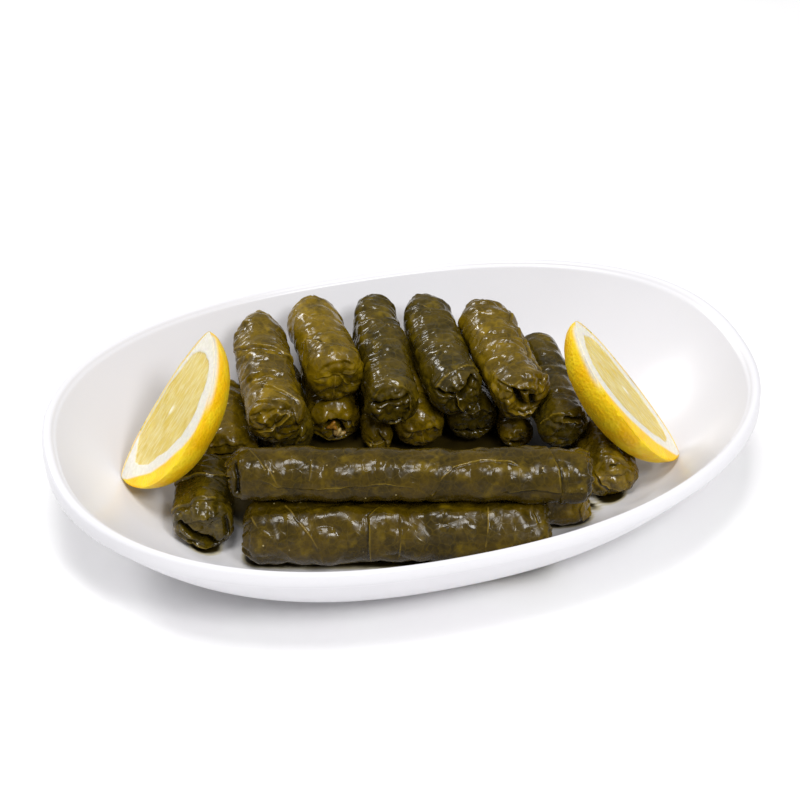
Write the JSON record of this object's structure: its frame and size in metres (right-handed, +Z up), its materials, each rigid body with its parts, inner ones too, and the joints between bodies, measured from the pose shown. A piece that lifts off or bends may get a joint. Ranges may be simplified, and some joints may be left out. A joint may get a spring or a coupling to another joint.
{
  "type": "stuffed vine leaf platter",
  "caption": "Rolled stuffed vine leaves piled in a white oval coupe dish, with a lemon wedge leaning at each end of the pile",
  "frame": {"origin": "on the table, under the middle of the dish's outline", "axes": "+X along the dish's long side, +Z up; the pictured front of the dish faces -Y"},
  "size_m": [0.27, 0.177, 0.0738],
  "materials": {
    "white_glaze": "gloss",
    "lemon_zest": "satin",
    "vine_leaf_olive": "gloss",
    "vine_leaf_dark": "gloss",
    "vine_leaf_yellow": "gloss"
  },
  "bodies": {
    "root": {"dish": "white_glaze", "lemon_left": "lemon_zest", "lemon_right": "lemon_zest", "roll_front_low": "vine_leaf_olive", "roll_front_back": "vine_leaf_yellow", "roll_front_top": "vine_leaf_olive", "roll_upper_1": "vine_leaf_olive", "roll_upper_2": "vine_leaf_yellow", "roll_upper_3": "vine_leaf_dark", "roll_upper_4": "vine_leaf_dark", "roll_upper_5": "vine_leaf_olive", "roll_upper_6": "vine_leaf_dark", "roll_lower_0": "vine_leaf_dark", "roll_lower_1": "vine_leaf_olive", "roll_lower_2": "vine_leaf_dark", "roll_lower_3": "vine_leaf_yellow", "roll_lower_4": "vine_leaf_olive", "roll_lower_5": "vine_leaf_yellow", "roll_lower_6": "vine_leaf_dark", "roll_lower_7": "vine_leaf_olive", "roll_lower_8": "vine_leaf_olive"}
  },
  "joints": []
}
